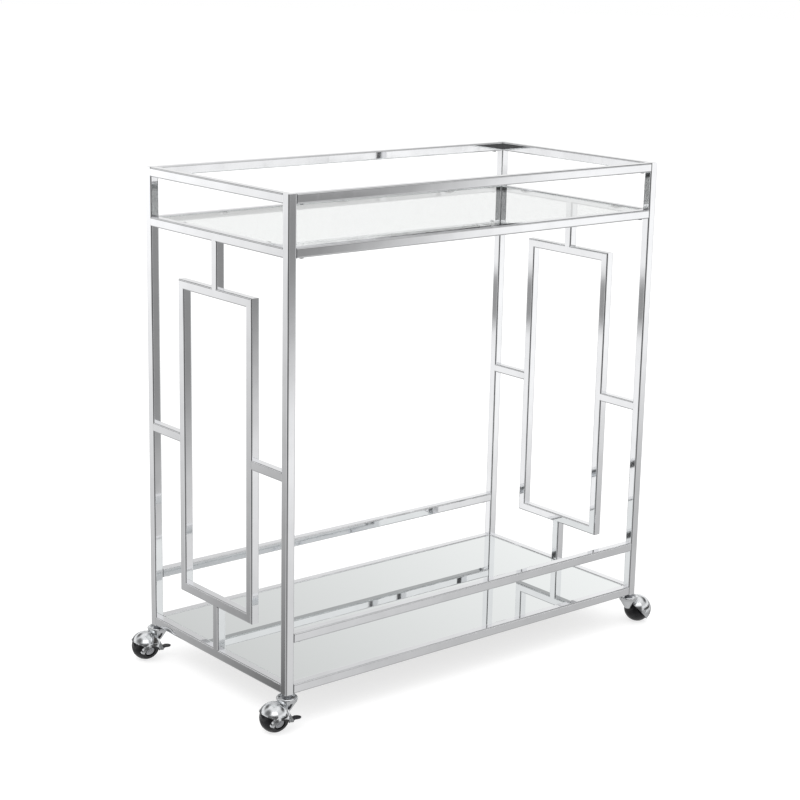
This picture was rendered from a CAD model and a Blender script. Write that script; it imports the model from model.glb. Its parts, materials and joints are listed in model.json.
import json
import math

import bmesh
import bpy
from mathutils import Matrix, Vector


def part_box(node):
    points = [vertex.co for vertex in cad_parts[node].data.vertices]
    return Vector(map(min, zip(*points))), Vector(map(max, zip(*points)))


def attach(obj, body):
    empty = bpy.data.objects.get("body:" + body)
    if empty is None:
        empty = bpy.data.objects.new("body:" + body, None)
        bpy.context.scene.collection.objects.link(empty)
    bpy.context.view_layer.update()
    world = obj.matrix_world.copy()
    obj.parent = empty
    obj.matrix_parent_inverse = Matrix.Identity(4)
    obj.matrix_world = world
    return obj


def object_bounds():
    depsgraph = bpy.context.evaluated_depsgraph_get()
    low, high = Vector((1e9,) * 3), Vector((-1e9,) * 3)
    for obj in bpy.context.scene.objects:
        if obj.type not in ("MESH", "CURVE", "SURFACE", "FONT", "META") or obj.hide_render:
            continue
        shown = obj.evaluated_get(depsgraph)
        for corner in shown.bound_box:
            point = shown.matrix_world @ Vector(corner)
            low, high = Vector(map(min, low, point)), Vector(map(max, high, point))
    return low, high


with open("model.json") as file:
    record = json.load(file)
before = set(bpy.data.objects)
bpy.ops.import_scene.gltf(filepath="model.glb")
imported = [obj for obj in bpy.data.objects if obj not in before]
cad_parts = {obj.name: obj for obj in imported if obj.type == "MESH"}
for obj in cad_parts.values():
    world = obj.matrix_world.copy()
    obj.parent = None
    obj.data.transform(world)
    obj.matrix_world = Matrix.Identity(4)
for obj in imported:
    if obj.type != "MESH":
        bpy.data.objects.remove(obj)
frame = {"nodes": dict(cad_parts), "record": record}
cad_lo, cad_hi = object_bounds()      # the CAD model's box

nodes = frame["nodes"]
record = frame["record"]
scene = bpy.context.scene
scene.view_settings.view_transform = "Standard"

UP = Vector((0, 0, 1))
TUBE = 0.016            # side of the square tubes
TUBE_EDGE = 0.0024      # radius of their rounded edges
BALL_R = 0.024          # radius of the casters' balls


# ---------------------------------------------------------------- node helpers

class Tree:
    """A short way to build node trees. A value is a number, a colour or another node's output."""

    def __init__(self, tree):
        self.nodes, self.links = tree.nodes, tree.links

    def add(self, kind, **settings):
        node = self.nodes.new(kind)
        for key, value in settings.items():
            setattr(node, key, value)
        return node

    def put(self, value, socket):
        if isinstance(value, bpy.types.NodeSocket):
            self.links.new(value, socket)
        else:
            socket.default_value = value

    def math(self, op, a, b=0.0):
        node = self.add("ShaderNodeMath", operation=op)
        self.put(a, node.inputs[0])
        self.put(b, node.inputs[1])
        return node.outputs[0]

    def remap(self, value, source, target=(0.0, 1.0), smooth=True):
        """Carry the source range to the target range, and hold the ends."""
        node = self.add("ShaderNodeMapRange", interpolation_type="SMOOTHSTEP" if smooth else "LINEAR")
        self.put(value, node.inputs["Value"])
        for name, end in zip(("From Min", "From Max", "To Min", "To Max"), (*source, *target)):
            self.put(end, node.inputs[name])
        return node.outputs[0]

    def ramp(self, value, stops):
        """A ramp of (position, brightness) stops. The first two are its ends."""
        node = self.add("ShaderNodeValToRGB")
        self.put(value, node.inputs[0])
        band = node.color_ramp
        for i, (at, grey) in enumerate(stops):
            stop = band.elements[i] if i < 2 else band.elements.new(at)
            stop.position = at
            stop.color = (grey, grey, grey, 1)
        return node.outputs[0]

    def mix(self, factor, a, b):
        node = self.add("ShaderNodeMix", data_type="RGBA")
        self.put(factor, node.inputs[0])
        for value, socket in ((a, node.inputs[6]), (b, node.inputs[7])):
            if isinstance(value, (int, float)):
                value = (value, value, value, 1)
            self.put(value, socket)
        return node.outputs[2]

    def coords(self, scale=(1, 1, 1), rotation=(0, 0, 0)):
        """Object coordinates, which ride with the piece."""
        where = self.add("ShaderNodeTexCoord")
        mapping = self.add("ShaderNodeMapping")
        self.links.new(where.outputs["Object"], mapping.inputs[0])
        mapping.inputs["Scale"].default_value = scale
        mapping.inputs["Rotation"].default_value = rotation
        return mapping.outputs[0]

    def noise(self, vector, scale, detail=4.0, rough=0.55):
        node = self.add("ShaderNodeTexNoise")
        self.put(vector, node.inputs["Vector"])
        node.inputs["Scale"].default_value = scale
        node.inputs["Detail"].default_value = detail
        node.inputs["Roughness"].default_value = rough
        return node.outputs["Fac"]

    def bump(self, height, strength, distance, normal=None):
        node = self.add("ShaderNodeBump")
        self.put(height, node.inputs["Height"])
        node.inputs["Strength"].default_value = strength
        node.inputs["Distance"].default_value = distance
        if normal is not None:
            self.put(normal, node.inputs["Normal"])
        return node.outputs[0]


def material(name, **settings):
    """A new material, its tree and its shader. A setting names a shader socket."""
    mat = bpy.data.materials.new(name)
    mat.use_nodes = True
    t = Tree(mat.node_tree)
    shader = t.nodes["Principled BSDF"]
    for key, value in settings.items():
        shader.inputs[key.replace("_", " ")].default_value = value
    return mat, t, shader


# ---------------------------------------------------------------- materials

def chrome(name, tint, rough, grain):
    """Bright chrome: faint cloudy haze, fine polishing specks and a few wipe marks."""
    hazy_tint = [c * 0.955 for c in tint]
    mat, t, shader = material(name, Metallic=1.0)
    where = t.coords()
    haze = t.noise(where, 22.0, 3.0)
    wipes = t.noise(t.coords(scale=(1, 1, 0.18), rotation=(0.35, 0.2, 0)), 75.0, 5.0, 0.7)
    specks = t.noise(where, 900.0, 2.0)
    ripple = t.noise(where, 14.0, 2.0)
    t.put(t.mix(t.remap(haze, (0.35, 0.7)), (*tint, 1), (*hazy_tint, 1)), shader.inputs["Base Color"])
    base = t.remap(haze, (0.3, 0.75), (rough, rough * 1.7))
    worn = t.math("MULTIPLY", t.remap(wipes, (0.52, 0.74)), rough * 0.8)
    t.put(t.math("ADD", base, worn), shader.inputs["Roughness"])
    fine = t.bump(specks, 0.05 * grain, 0.00004)
    t.put(t.bump(ripple, 0.06 * grain, 0.0012, fine), shader.inputs["Normal"])
    return mat


def steel():
    """Zinc plated steel: turning lines and a blotchy bloom."""
    mat, t, shader = material("zinc_steel", Metallic=1.0)
    grain = t.noise(t.coords(scale=(1, 1, 12)), 240.0, 4.0, 0.7)
    bloom = t.noise(t.coords(), 130.0, 3.0)
    t.put(t.mix(bloom, (0.60, 0.61, 0.63, 1), (0.44, 0.45, 0.47, 1)), shader.inputs["Base Color"])
    t.put(t.remap(grain, (0.3, 0.7), (0.22, 0.42)), shader.inputs["Roughness"])
    t.put(t.bump(grain, 0.15, 0.0002), shader.inputs["Normal"])
    return mat


def glass():
    """Clear float glass with a trace of grey green, and wipe marks that blur it a little."""
    mat, t, shader = material("clear_glass", Base_Color=(0.858, 0.876, 0.868, 1), IOR=1.5,
                              Transmission_Weight=1.0)
    smears = t.noise(t.coords(scale=(1, 0.25, 1), rotation=(0, 0, 0.5)), 9.0, 5.0, 0.65)
    t.put(t.remap(smears, (0.45, 0.8), (0.0, 0.035)), shader.inputs["Roughness"])
    return mat


def glass_edge():
    """The ground edge of a sheet, which looks down the green depth of the glass."""
    mat, t, shader = material("glass_edge", IOR=1.5, Roughness=0.12, Transmission_Weight=0.35)
    ripple = t.noise(t.coords(scale=(1, 1, 30)), 60.0, 3.0)
    t.put(t.mix(ripple, (0.42, 0.60, 0.55, 1), (0.60, 0.76, 0.71, 1)), shader.inputs["Base Color"])
    t.put(t.bump(ripple, 0.1, 0.0002), shader.inputs["Normal"])
    return mat


def mirror():
    """Silvered glass with a little dust and faint smears."""
    mat, t, shader = material("mirror_silver", Metallic=1.0)
    dust = t.noise(t.coords(), 420.0, 2.0)
    smears = t.noise(t.coords(scale=(1, 0.3, 1), rotation=(0, 0, 0.7)), 7.0, 5.0, 0.6)
    t.put(t.mix(t.remap(dust, (0.66, 0.8)), (0.875, 0.90, 0.895, 1), (0.80, 0.81, 0.81, 1)),
          shader.inputs["Base Color"])
    t.put(t.remap(smears, (0.45, 0.8), (0.006, 0.05)), shader.inputs["Roughness"])
    return mat


def board():
    """Dark painted hardboard with a fibrous face."""
    mat, t, shader = material("hardboard", Roughness=0.7)
    fibres = t.noise(t.coords(scale=(1, 4, 1)), 160.0, 6.0, 0.7)
    mottle = t.noise(t.coords(), 24.0, 4.0)
    dark = t.mix(mottle, (0.030, 0.027, 0.025, 1), (0.055, 0.047, 0.042, 1))
    t.put(t.mix(t.remap(fibres, (0.55, 0.8)), dark, (0.085, 0.070, 0.060, 1)),
          shader.inputs["Base Color"])
    t.put(t.bump(fibres, 0.5, 0.0004), shader.inputs["Normal"])
    return mat


def pad():
    """Soft clear pad, a little cloudy."""
    mat, t, shader = material("clear_pad", Transmission_Weight=0.6, IOR=1.45)
    cloud = t.noise(t.coords(), 300.0, 3.0)
    t.put(t.mix(cloud, (0.86, 0.88, 0.88, 1), (0.74, 0.77, 0.78, 1)), shader.inputs["Base Color"])
    t.put(t.remap(cloud, (0.3, 0.7), (0.18, 0.38)), shader.inputs["Roughness"])
    return mat


def plastic(name, colour, rough, texture, coat):
    """Moulded plastic: fine grain from the mould, scuffs and a little dust."""
    pale = tuple(min(1, c * 2.6 + 0.012) for c in colour)
    mat, t, shader = material(name, Coat_Weight=coat, Coat_Roughness=0.12, Specular_IOR_Level=0.3)
    where = t.coords()
    grain = t.noise(where, 1500.0, 3.0, 0.6)
    scuffs = t.noise(t.coords(scale=(1, 1, 3), rotation=(0.5, 0.3, 0.2)), 190.0, 6.0, 0.75)
    dust = t.noise(where, 95.0, 5.0, 0.65)
    body = t.mix(t.remap(dust, (0.5, 0.8), (0, 0.6)), (*colour, 1), (*pale, 1))
    t.put(t.mix(t.remap(scuffs, (0.62, 0.8), (0, 0.5)), body, (*pale, 1)), shader.inputs["Base Color"])
    t.put(t.remap(scuffs, (0.35, 0.75), (rough, rough + 0.22)), shader.inputs["Roughness"])
    t.put(t.bump(grain, texture, 0.00012), shader.inputs["Normal"])
    return mat


def floor_material():
    """Pale studio floor. Its own glow keeps it white and its shadows light."""
    mat, t, shader = material("pale_floor", Roughness=0.9, Emission_Color=(1, 1, 1, 1),
                              Emission_Strength=0.70, Specular_IOR_Level=0.0)
    mottle = t.noise(t.coords(), 1.3, 3.0)
    t.put(t.mix(mottle, 0.43, 0.45), shader.inputs["Base Color"])
    return mat


def set_finishes():
    """Give every CAD node its slot's finish, and the two sheets their green edges."""
    for part in record["subparts"]:
        node = nodes[part["node"]]
        node.data.materials.clear()
        node.data.materials.append(finishes[part["material_slot"]])
    edge = glass_edge()
    for name in ("glass_shelf", "mirror_shelf"):
        mesh = nodes[name].data
        mesh.materials.append(edge)
        for face in mesh.polygons:
            face.material_index = 1 if abs(face.normal.z) < 0.5 else 0


finishes = {
    "chrome_tube": chrome("chrome_tube", tint=(0.86, 0.865, 0.88), rough=0.028, grain=1.0),
    "chrome_cast": chrome("chrome_cast", tint=(0.80, 0.815, 0.83), rough=0.12, grain=2.2),
    "plain_steel": steel(),
    "clear_glass": glass(),
    "mirror": mirror(),
    "board": board(),
    "clear_pad": pad(),
    "black_ball": plastic("black_ball", (0.006, 0.006, 0.007), rough=0.2, texture=0.25, coat=0.15),
    "black_lever": plastic("black_lever", (0.030, 0.030, 0.034), rough=0.34, texture=0.5, coat=0.1),
}
set_finishes()


# ---------------------------------------------------------------- mesh helpers

def piece(name, bm, slot, body):
    """Turn a bmesh into an object with a slot's finish that rides on a body."""
    bmesh.ops.recalc_face_normals(bm, faces=bm.faces)
    mesh = bpy.data.meshes.new(name)
    bm.to_mesh(mesh)
    bm.free()
    mesh.materials.append(finishes[slot])
    obj = bpy.data.objects.new(name, mesh)
    scene.collection.objects.link(obj)
    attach(obj, body)


def placed(origin, x_axis, y_axis, z_axis):
    """The placement that has its own x, y and z along three directions."""
    return Matrix.Translation(origin) @ Matrix((x_axis, y_axis, z_axis)).transposed().to_4x4()


def about(origin, x_axis, z_axis):
    """The placement for a lathed shape on an axle, from two directions at right angles."""
    x_axis, z_axis = Vector(x_axis).normalized(), Vector(z_axis).normalized()
    return placed(origin, x_axis, z_axis.cross(x_axis), z_axis)


def lathe(bm, outline, place, steps):
    """Spin a closed outline of (radius, height) points round +Z, then place it."""
    rings = []
    for i in range(steps):
        turn = 2 * math.pi * i / steps
        rings.append([bm.verts.new(place @ Vector((r * math.cos(turn), r * math.sin(turn), h)))
                      for r, h in outline])
    for i in range(steps):
        here, there = rings[i], rings[(i + 1) % steps]
        for j in range(len(outline)):
            k = (j + 1) % len(outline)
            bm.faces.new((here[j], here[k], there[k], there[j])).smooth = True


def prism(bm, outline, length, place):
    """A closed bar along +Z from an outline of (x, y) points."""
    low, high = ([bm.verts.new(place @ Vector((x, y, z))) for x, y in outline] for z in (0, length))
    bm.faces.new(low[::-1])
    bm.faces.new(high)
    for i in range(len(outline)):
        j = (i + 1) % len(outline)
        bm.faces.new((low[i], low[j], high[j], high[i]))


# ---------------------------------------------------------------- welds of the end frames

WELD_STEPS = 8            # facets of the groove's arc
WELD_PROUD = 0.00004      # how far the ground weld stands over the tubes
WELD_TOE = (0.0003, 0.00002)      # where it runs out on the flat tube


def weld_outline():
    """The groove that a tube's round edge leaves beside the flat end of another, filled flush.
    The joint plane is x = 0, the flush face is y = 0, and the rounded tube is on the -x side."""
    angles = [math.radians(90 * i / WELD_STEPS) for i in range(WELD_STEPS + 1)]
    arc = [(-TUBE_EDGE + TUBE_EDGE * math.sin(a), -TUBE_EDGE + TUBE_EDGE * math.cos(a))
           for a in angles]
    return [(x + WELD_PROUD, y + WELD_PROUD) for x, y in arc[::-1]] + [WELD_TOE]


def weld(bm, start, run, toward, out):
    """Fill one groove, as long as a tube's flat is wide. run is the way along it, toward points
    from the rounded tube across the joint, and out points away from the flush face."""
    place = placed(start, Vector(toward), Vector(out), Vector(run))
    prism(bm, weld_outline(), TUBE - 2 * TUBE_EDGE, place)


def end_frame_welds(name):
    """Ground welds on both faces of one end frame: rails and side stubs to the posts and the
    panel, and upright stubs to the rails and the panel."""
    bm = bmesh.new()
    level = ("top_rail", "shelf_rail", "bottom_rail", "panel_front_stub", "panel_back_stub")
    upright = ("panel_top_stub", "panel_bottom_stub")
    post_lo, post_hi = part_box(f"{name}_front_post")
    for x, out in ((post_lo.x, -1), (post_hi.x, 1)):
        for bar in level:
            low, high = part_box(f"{name}_{bar}")
            for y, toward in ((low.y, 1), (high.y, -1)):
                weld(bm, (x, y, low.z + TUBE_EDGE), (0, 0, 1), (0, toward, 0), (out, 0, 0))
        for bar in upright:
            low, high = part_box(f"{name}_{bar}")
            for z, toward in ((low.z, 1), (high.z, -1)):
                weld(bm, (x, low.y + TUBE_EDGE, z), (0, 1, 0), (0, 0, toward), (out, 0, 0))
    piece(f"{name}_frame_welds", bm, "chrome_tube", "root")


# ---------------------------------------------------------------- caster details

CORNERS = ("front_left", "back_left", "front_right", "back_right")
BRAKED = CORNERS[:2]
joints = {j["name"]: j for j in record["behaviour"]["joints"]}

MOULD_PROUD = 0.00022     # how far the mould line stands out of the ball, and half its width
MOULD_ROUND = 0.0001      # how much its shoulders fall away
MOULD_ROOT = (0.0006, 0.0004)     # how deep it is rooted, and half its width there
HUB = -0.0185             # place of the hub's washer along the axle, from the ball's centre
CORE = 0.00005            # radius of the tiny hole in a lathed disc's middle

# Outlines of (radius, height) points in metres
WASHER = [(0.0026, 0.0020), (0.0078, 0.0020), (0.0083, 0.0015),
          (0.0080, 0.0010), (0.0052, 0.0008), (0.0026, 0.0010)]
AXLE_PEEN = [(CORE, -0.0002), (0.0020, 0.0), (0.0034, 0.0003), (0.0034, 0.0006), (CORE, 0.0006)]
PIVOT_PEEN = [(CORE, 0.0007), (0.0012, 0.00055), (0.0019, 0.0001), (0.0019, -0.0002),
              (CORE, -0.0002)]

PAD_TOP = -0.0022         # top of the lever's foot pad, from the ball's centre
PIVOT_HALF = 0.0053       # half the length of the lever's pin
RIDGES = 5                # grip ridges on the foot pad
RIDGE_START = 0.0338      # first ridge, outward from the ball's centre
RIDGE_PITCH = 0.0018
RIDGE_HALF = 0.0041       # half the length of the longest ridge
RIDGE_TAPER = 0.00028     # how fast the ridges shorten away from it
RIDGE_MIDDLE = 1.5        # where along the row the longest would be
RIDGE_OUTLINE = [(-0.0005, -0.0003), (0.0005, -0.0003), (0.00032, 0.0004), (-0.00032, 0.0004)]


def joint_place(name):
    """A joint's point and its unit axis."""
    return Vector(joints[name]["pos_m"]), Vector(joints[name]["axis"]).normalized()


def shifted(outline, height):
    return [(r, h + height) for r, h in outline]


def ball_details(corner):
    """The mould line round the ball, and the washer and peened axle end in its hub."""
    centre, axle = joint_place(f"{corner}_wheel_spin")
    place = about(centre, axle.orthogonal(), axle)
    depth, half = MOULD_ROOT
    root, crown = BALL_R - depth, BALL_R + MOULD_PROUD
    bm = bmesh.new()
    lathe(bm, [(root, -half), (crown - MOULD_ROUND, -MOULD_PROUD), (crown, 0),
               (crown - MOULD_ROUND, MOULD_PROUD), (root, half)], place, 96)
    piece(f"{corner}_wheel_mould_line", bm, "black_ball", f"{corner}_wheel_body")
    bm = bmesh.new()
    lathe(bm, shifted(WASHER, HUB), place, 48)
    piece(f"{corner}_hub_washer", bm, "plain_steel", f"{corner}_swivel")
    bm = bmesh.new()
    lathe(bm, shifted(AXLE_PEEN, HUB), place, 32)
    piece(f"{corner}_axle_peen", bm, "plain_steel", f"{corner}_swivel")


def lever_details(corner):
    """Moulded grip ridges across the foot pad of a brake lever, and its peened pin ends."""
    pivot, axle = joint_place(f"{corner}_brake")
    centre, _ = joint_place(f"{corner}_wheel_spin")
    out = axle.cross(UP)
    if (pivot - centre).dot(out) < 0:
        out = -out
    bm = bmesh.new()
    for i in range(RIDGES):
        half = RIDGE_HALF - RIDGE_TAPER * (i - RIDGE_MIDDLE) ** 2
        start = centre + out * (RIDGE_START + RIDGE_PITCH * i) - axle * half
        start.z = centre.z + PAD_TOP
        prism(bm, RIDGE_OUTLINE, 2 * half, placed(start, out, UP, axle))
    piece(f"{corner}_lever_ridges", bm, "black_lever", f"{corner}_lever_body")
    bm = bmesh.new()
    for way in (-1, 1):
        lathe(bm, PIVOT_PEEN, about(pivot + axle * way * PIVOT_HALF, out, axle * way), 24)
    piece(f"{corner}_pivot_ends", bm, "plain_steel", f"{corner}_lever_body")


for side in ("left", "right"):
    end_frame_welds(side)
for corner in CORNERS:
    ball_details(corner)
for corner in BRAKED:
    lever_details(corner)


# ---------------------------------------------------------------- camera

def make_camera(position, yaw, pitch, roll, lens):
    """yaw turns from +Y towards +X, pitch looks down, roll leans the frame; degrees."""
    yaw, pitch, roll = (math.radians(a) for a in (yaw, pitch, roll))
    ahead = Vector((math.sin(yaw) * math.cos(pitch), math.cos(yaw) * math.cos(pitch),
                    -math.sin(pitch)))
    side = Vector((math.cos(yaw), -math.sin(yaw), 0))
    up = side.cross(ahead)
    x_axis = side * math.cos(roll) + up * math.sin(roll)
    y_axis = up * math.cos(roll) - side * math.sin(roll)
    data = bpy.data.cameras.new("camera")
    data.lens, data.sensor_width = lens, 36.0
    camera = bpy.data.objects.new("camera", data)
    camera.matrix_world = placed(position, x_axis, y_axis, -ahead)
    scene.collection.objects.link(camera)
    scene.camera = camera


# ---------------------------------------------------------------- studio

FLOOR_RADIUS = 30

# What polished metal sees at each elevation in degrees. The two ends come first.
ROOM = ((-90, 0.60), (90, 0.85),
        (-45, 0.50), (-24, 0.40), (-18, 0.55), (-12, 0.92), (-2, 1.0),      # floor and sweeps
        (10, 0.86), (16, 1.0), (26, 0.85), (34, 0.62),                      # walls
        (50, 0.78), (66, 1.0), (80, 0.9))                                   # ceiling
BACKDROP, BACKDROP_LIGHT = 1.0, 1.08      # what the camera sees, and what lights the floor


def make_floor():
    mesh = bpy.data.meshes.new("floor")
    bm = bmesh.new()
    bmesh.ops.create_circle(bm, cap_ends=True, radius=FLOOR_RADIUS, segments=96)
    bm.to_mesh(mesh)
    bm.free()
    floor = bpy.data.objects.new("floor", mesh)
    floor.location.z = cad_lo.z
    mesh.materials.append(floor_material())
    scene.collection.objects.link(floor)
    floor.visible_glossy = False


class Walls:
    """The world as polished metal sees it, painted patch over patch. Azimuths and elevations are
    in degrees; azimuth 0 is along +X and 90 along +Y."""

    def __init__(self, tree):
        self.t = tree
        way = tree.add("ShaderNodeTexCoord").outputs["Generated"]
        split = tree.add("ShaderNodeSeparateXYZ")
        tree.put(way, split.inputs[0])
        self.x, self.y, z = split.outputs
        self.high = tree.math("MULTIPLY", tree.math("ARCSINE", z), 180 / math.pi)
        stops = [((degrees + 90) / 180, grey) for degrees, grey in ROOM]
        self.colour = tree.ramp(tree.remap(self.high, (-90, 90), smooth=False), stops)

    def off(self, azimuth):
        """Degrees round from an azimuth."""
        t, turn = self.t, math.radians(azimuth)
        along = t.math("ADD", t.math("MULTIPLY", self.x, math.cos(turn)),
                       t.math("MULTIPLY", self.y, math.sin(turn)))
        across = t.math("SUBTRACT", t.math("MULTIPLY", self.y, math.cos(turn)),
                        t.math("MULTIPLY", self.x, math.sin(turn)))
        return t.math("MULTIPLY", t.math("ARCTAN2", across, along), 180 / math.pi)

    def window(self, value, low, top, soft):
        """1 between two values and 0 outside, with soft sides."""
        rise = self.t.remap(value, (low - soft, low + soft))
        fall = self.t.remap(value, (top - soft, top + soft), (1.0, 0.0))
        return self.t.math("MULTIPLY", rise, fall)

    def paint(self, value, azimuth, half, low, top, soft, rim):
        """Lay a value over a patch: half is half its width, low and top are its elevations, and
        soft and rim are how far its upright and its level edges fade."""
        sides = self.window(self.off(azimuth), -half, half, soft)
        ends = self.window(self.high, low, top, rim)
        self.colour = self.t.mix(self.t.math("MULTIPLY", sides, ends), self.colour, value)


def paint_sweeps(walls):
    """The sweeps at the right and the left, which the front faces and the left end see."""
    t, high = walls.t, walls.high
    # Right: a pale band that slants across it, and a lit rim
    middle = t.math("ADD", t.math("MULTIPLY", walls.off(-53), 1.05), -18.5)
    above = t.math("SUBTRACT", high, middle)
    beside = t.remap(above, (-9.0, 4.0), (0.56, 0.30))
    crest = t.remap(high, (-22.0, -12.0), (0.72, 1.10))
    band = t.remap(t.math("ABSOLUTE", above), (2.5, 10.0), (crest, beside))
    walls.paint(band, azimuth=-48, half=22, low=-26, top=-6.7, soft=5, rim=0.25)
    walls.paint(1.1, azimuth=-48, half=22, low=-6.7, top=-5.9, soft=5, rim=0.2)
    walls.paint(1.0, azimuth=-62, half=10, low=-7.5, top=-5.9, soft=2, rim=0.15)
    # Left: darker low down and towards the camera, with a thin pale line at its far end
    left = t.math("SUBTRACT", t.remap(high, (-24.0, -7.0), (0.34, 1.22), smooth=False),
                  t.math("MULTIPLY", walls.off(122), 0.055))
    walls.paint(t.math("MAXIMUM", left, 0.12), azimuth=121, half=9, low=-26, top=-5.9, soft=1, rim=0.25)
    far_left = t.remap(t.math("ABSOLUTE", t.math("ADD", high, 10.8)), (0.4, 1.2), (0.35, 1.0))
    walls.paint(far_left, azimuth=140, half=9, low=-26, top=-5.9, soft=1, rim=0.25)
    # The dark above both sweeps
    walls.paint(0.04, azimuth=-45, half=34, low=-5.9, top=9, soft=6, rim=0.2)
    walls.paint(0.04, azimuth=112, half=42, low=-5.9, top=9, soft=6, rim=0.2)


def paint_walls(walls):
    """The dark gap where the camera stands, the far wall, the flags and the ceiling's lights."""
    t, high = walls.t, walls.high
    # The gap draws the dark lines along the corners. Its shoulders are grey
    walls.paint(0.38, azimuth=-134, half=60, low=-30, top=-4, soft=6, rim=3)
    gap = t.remap(high, (-24.0, -10.0), (0.24, 0.10))
    walls.paint(gap, azimuth=-134, half=40, low=-34, top=30, soft=5, rim=3)
    # The far wall, brighter to the right, which the shelves see
    falloff = t.math("ADD", t.math("MULTIPLY", walls.off(43), 0.018),
                     t.math("MULTIPLY", t.math("SUBTRACT", high, 18), 0.028))
    wall = t.math("SUBTRACT", 1.02, falloff)
    walls.paint(wall, azimuth=44, half=22, low=14, top=28, soft=4, rim=2)
    # Grey flags at the right end and at the back, which give the far sides some contrast
    walls.paint(0.22, azimuth=2, half=7, low=-32, top=12, soft=5, rim=4)
    walls.paint(0.28, azimuth=82, half=9, low=-32, top=12, soft=6, rim=4)
    # Dark gaps in the bright ceiling, which draw the rails' top edges
    walls.paint(0.10, azimuth=-9, half=26, low=28, top=50, soft=12, rim=8)
    walls.paint(0.10, azimuth=101, half=20, low=32, top=54, soft=12, rim=8)
    # A soft box above the camera, and a dim corner at the left
    walls.paint(1.5, azimuth=-120, half=30, low=36, top=60, soft=3, rim=2)
    walls.paint(0.18, azimuth=172, half=26, low=20, top=62, soft=14, rim=14)


def make_world():
    """A white studio. Only reflections see its walls: the camera and the glass see plain white."""
    world = bpy.data.worlds.new("studio")
    world.use_nodes = True
    scene.world = world
    t = Tree(world.node_tree)
    t.nodes.clear()
    walls = Walls(t)
    paint_sweeps(walls)
    paint_walls(walls)
    path = t.add("ShaderNodeLightPath")
    white = t.mix(path.outputs["Is Diffuse Ray"], BACKDROP, BACKDROP_LIGHT)
    shade = t.add("ShaderNodeBackground")
    t.put(t.mix(path.outputs["Is Glossy Ray"], white, walls.colour), shade.inputs["Color"])
    out = t.add("ShaderNodeOutputWorld")
    t.links.new(shade.outputs[0], out.inputs[0])


def make_light(place, aim, size, energy):
    """One big soft light high on the left, for the plastic and the contact shadows."""
    data = bpy.data.lights.new("soft_box", "AREA")
    data.shape = "RECTANGLE"
    data.size, data.size_y = size
    data.energy = energy
    light = bpy.data.objects.new("soft_box", data)
    light.location = place
    light.rotation_euler = (aim - place).to_track_quat("-Z", "Y").to_euler()
    light.visible_glossy = False
    scene.collection.objects.link(light)


make_camera(Vector((-2.013, -2.406, 1.2288)), yaw=39.77, pitch=14.03, roll=1.19, lens=82.98)
make_floor()
make_world()
make_light(Vector((-2.0, -0.6, 3.2)), aim=Vector((0, 0, 0.4)), size=(2.2, 1.6), energy=26)
